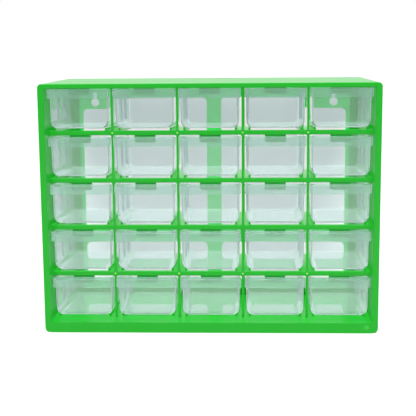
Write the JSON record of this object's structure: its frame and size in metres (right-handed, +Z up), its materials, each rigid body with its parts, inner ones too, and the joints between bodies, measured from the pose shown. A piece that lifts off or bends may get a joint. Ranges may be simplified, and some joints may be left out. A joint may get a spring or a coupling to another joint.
{
  "type": "compartment storage box",
  "caption": "Open-fronted cabinet in green moulded plastic whose grid of cells holds clear pull-out drawers with a finger lip, for sorting small parts; it stands or hangs.",
  "frame": {"origin": "middle of the underside, at the plane that the cabinet stands on", "axes": "+Z up, the drawers open towards -Y, +X to the right as seen from the front"},
  "size_m": [0.375, 0.16, 0.28],
  "materials": {
    "green_plastic": "satin gloss",
    "clear_plastic": "clear, glossy"
  },
  "bodies": {
    "housing": {"outer_shell": "green_plastic", "base_pan": "green_plastic", "back_panel": "green_plastic", "rear_posts": "green_plastic", "upright_1": "green_plastic", "upright_2": "green_plastic", "upright_3": "green_plastic", "upright_4": "green_plastic", "cross_bar_1": "green_plastic", "cross_bar_2": "green_plastic", "cross_bar_3": "green_plastic", "cross_bar_4": "green_plastic", "runners_row_1": "green_plastic", "runners_row_2": "green_plastic", "runners_row_3": "green_plastic", "runners_row_4": "green_plastic", "runners_row_5": "green_plastic", "stop_tongues_row_1": "green_plastic", "stop_tongues_row_2": "green_plastic", "stop_tongues_row_3": "green_plastic", "stop_tongues_row_4": "green_plastic", "stop_tongues_row_5": "green_plastic"},
    "drawer_r1c1": {"drawer_r1c1": "clear_plastic"},
    "drawer_r1c2": {"drawer_r1c2": "clear_plastic"},
    "drawer_r1c3": {"drawer_r1c3": "clear_plastic"},
    "drawer_r1c4": {"drawer_r1c4": "clear_plastic"},
    "drawer_r1c5": {"drawer_r1c5": "clear_plastic"},
    "drawer_r2c1": {"drawer_r2c1": "clear_plastic"},
    "drawer_r2c2": {"drawer_r2c2": "clear_plastic"},
    "drawer_r2c3": {"drawer_r2c3": "clear_plastic"},
    "drawer_r2c4": {"drawer_r2c4": "clear_plastic"},
    "drawer_r2c5": {"drawer_r2c5": "clear_plastic"},
    "drawer_r3c1": {"drawer_r3c1": "clear_plastic"},
    "drawer_r3c2": {"drawer_r3c2": "clear_plastic"},
    "drawer_r3c3": {"drawer_r3c3": "clear_plastic"},
    "drawer_r3c4": {"drawer_r3c4": "clear_plastic"},
    "drawer_r3c5": {"drawer_r3c5": "clear_plastic"},
    "drawer_r4c1": {"drawer_r4c1": "clear_plastic"},
    "drawer_r4c2": {"drawer_r4c2": "clear_plastic"},
    "drawer_r4c3": {"drawer_r4c3": "clear_plastic"},
    "drawer_r4c4": {"drawer_r4c4": "clear_plastic"},
    "drawer_r4c5": {"drawer_r4c5": "clear_plastic"},
    "drawer_r5c1": {"drawer_r5c1": "clear_plastic"},
    "drawer_r5c2": {"drawer_r5c2": "clear_plastic"},
    "drawer_r5c3": {"drawer_r5c3": "clear_plastic"},
    "drawer_r5c4": {"drawer_r5c4": "clear_plastic"},
    "drawer_r5c5": {"drawer_r5c5": "clear_plastic"}
  },
  "joints": [
    {"name": "slide_r1c1", "type": "slide", "parent": "housing", "child": "drawer_r1c1", "axis": [0, -0.9979, 0.0647], "range_m": [0, 0.1241]},
    {"name": "slide_r1c2", "type": "slide", "parent": "housing", "child": "drawer_r1c2", "axis": [0, -0.9979, 0.0647], "range_m": [0, 0.1241]},
    {"name": "slide_r1c3", "type": "slide", "parent": "housing", "child": "drawer_r1c3", "axis": [0, -0.9979, 0.0647], "range_m": [0, 0.1241]},
    {"name": "slide_r1c4", "type": "slide", "parent": "housing", "child": "drawer_r1c4", "axis": [0, -0.9979, 0.0647], "range_m": [0, 0.1241]},
    {"name": "slide_r1c5", "type": "slide", "parent": "housing", "child": "drawer_r1c5", "axis": [0, -0.9979, 0.0647], "range_m": [0, 0.1241]},
    {"name": "slide_r2c1", "type": "slide", "parent": "housing", "child": "drawer_r2c1", "axis": [0, -0.9979, 0.0647], "range_m": [0, 0.1241]},
    {"name": "slide_r2c2", "type": "slide", "parent": "housing", "child": "drawer_r2c2", "axis": [0, -0.9979, 0.0647], "range_m": [0, 0.1241]},
    {"name": "slide_r2c3", "type": "slide", "parent": "housing", "child": "drawer_r2c3", "axis": [0, -0.9979, 0.0647], "range_m": [0, 0.1241]},
    {"name": "slide_r2c4", "type": "slide", "parent": "housing", "child": "drawer_r2c4", "axis": [0, -0.9979, 0.0647], "range_m": [0, 0.1241]},
    {"name": "slide_r2c5", "type": "slide", "parent": "housing", "child": "drawer_r2c5", "axis": [0, -0.9979, 0.0647], "range_m": [0, 0.1241]},
    {"name": "slide_r3c1", "type": "slide", "parent": "housing", "child": "drawer_r3c1", "axis": [0, -0.9979, 0.0647], "range_m": [0, 0.1241]},
    {"name": "slide_r3c2", "type": "slide", "parent": "housing", "child": "drawer_r3c2", "axis": [0, -0.9979, 0.0647], "range_m": [0, 0.1241]},
    {"name": "slide_r3c3", "type": "slide", "parent": "housing", "child": "drawer_r3c3", "axis": [0, -0.9979, 0.0647], "range_m": [0, 0.1241]},
    {"name": "slide_r3c4", "type": "slide", "parent": "housing", "child": "drawer_r3c4", "axis": [0, -0.9979, 0.0647], "range_m": [0, 0.1241]},
    {"name": "slide_r3c5", "type": "slide", "parent": "housing", "child": "drawer_r3c5", "axis": [0, -0.9979, 0.0647], "range_m": [0, 0.1241]},
    {"name": "slide_r4c1", "type": "slide", "parent": "housing", "child": "drawer_r4c1", "axis": [0, -0.9979, 0.0647], "range_m": [0, 0.1241]},
    {"name": "slide_r4c2", "type": "slide", "parent": "housing", "child": "drawer_r4c2", "axis": [0, -0.9979, 0.0647], "range_m": [0, 0.1241]},
    {"name": "slide_r4c3", "type": "slide", "parent": "housing", "child": "drawer_r4c3", "axis": [0, -0.9979, 0.0647], "range_m": [0, 0.1241]},
    {"name": "slide_r4c4", "type": "slide", "parent": "housing", "child": "drawer_r4c4", "axis": [0, -0.9979, 0.0647], "range_m": [0, 0.1241]},
    {"name": "slide_r4c5", "type": "slide", "parent": "housing", "child": "drawer_r4c5", "axis": [0, -0.9979, 0.0647], "range_m": [0, 0.1241]},
    {"name": "slide_r5c1", "type": "slide", "parent": "housing", "child": "drawer_r5c1", "axis": [0, -0.9979, 0.0647], "range_m": [0, 0.1241]},
    {"name": "slide_r5c2", "type": "slide", "parent": "housing", "child": "drawer_r5c2", "axis": [0, -0.9979, 0.0647], "range_m": [0, 0.1241]},
    {"name": "slide_r5c3", "type": "slide", "parent": "housing", "child": "drawer_r5c3", "axis": [0, -0.9979, 0.0647], "range_m": [0, 0.1241]},
    {"name": "slide_r5c4", "type": "slide", "parent": "housing", "child": "drawer_r5c4", "axis": [0, -0.9979, 0.0647], "range_m": [0, 0.1241]},
    {"name": "slide_r5c5", "type": "slide", "parent": "housing", "child": "drawer_r5c5", "axis": [0, -0.9979, 0.0647], "range_m": [0, 0.1241]}
  ]
}
